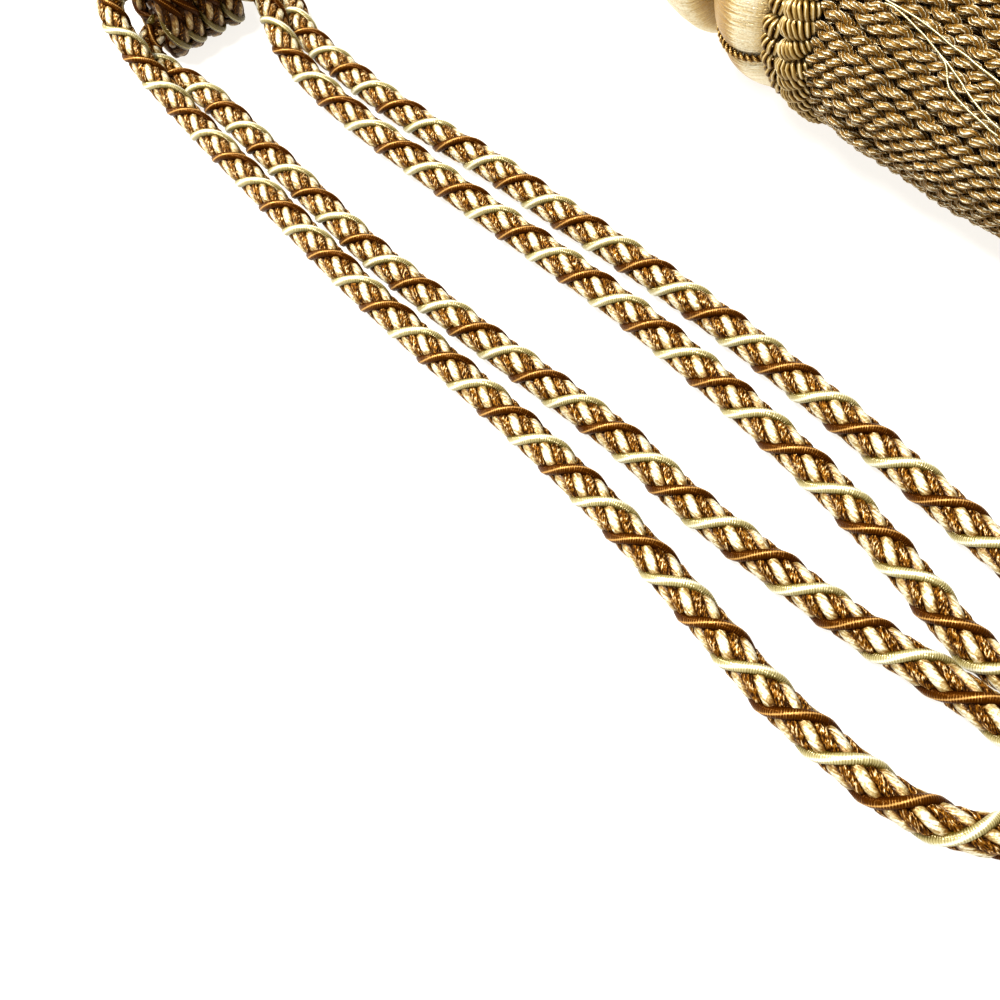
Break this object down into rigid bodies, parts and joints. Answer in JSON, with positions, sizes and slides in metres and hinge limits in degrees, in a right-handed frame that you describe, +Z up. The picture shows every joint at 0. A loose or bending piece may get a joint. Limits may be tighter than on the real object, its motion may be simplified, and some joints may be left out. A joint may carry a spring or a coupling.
{
  "type": "curtain tieback with tassel",
  "caption": "Curtain tieback: looped rope arms bound by a wound barrel knot, with a satin-headed bullion tassel hanging from it, laid flat.",
  "frame": {"origin": "bottom centre of the box round the barrel knot and the tassel, on the surface they lie on; the free ropes are not counted", "axes": "+X along the tassel's axis, from its head to the free ends of the skirt, which is also the way the rope arms run; +Y across, from the rope arms towards the tassel; +Z up from the surface"},
  "size_m": [0.46, 0.2358, 0.0917],
  "materials": {
    "rope": "twisted rayon rope, satin cream and bronze strands",
    "satin": "cream satin thread winding",
    "gimp": "bronze gimp cord",
    "bullion": "dull gold twisted bullion"
  },
  "bodies": {
    "root": {"front_arm": "rope", "back_arm": "rope", "hanging_rope": "rope", "barrel_knot": "rope", "head_dome": "satin", "head_bell": "satin", "neck_gimp": "gimp", "bell_gimp_1": "gimp", "bell_gimp_2": "gimp", "bell_gimp_3": "gimp", "bell_gimp_4": "gimp", "bell_gimp_5": "gimp", "bell_gimp_6": "gimp", "bell_gimp_7": "gimp", "bell_gimp_8": "gimp", "ruff": "bullion", "skirt": "bullion"}
  },
  "joints": []
}
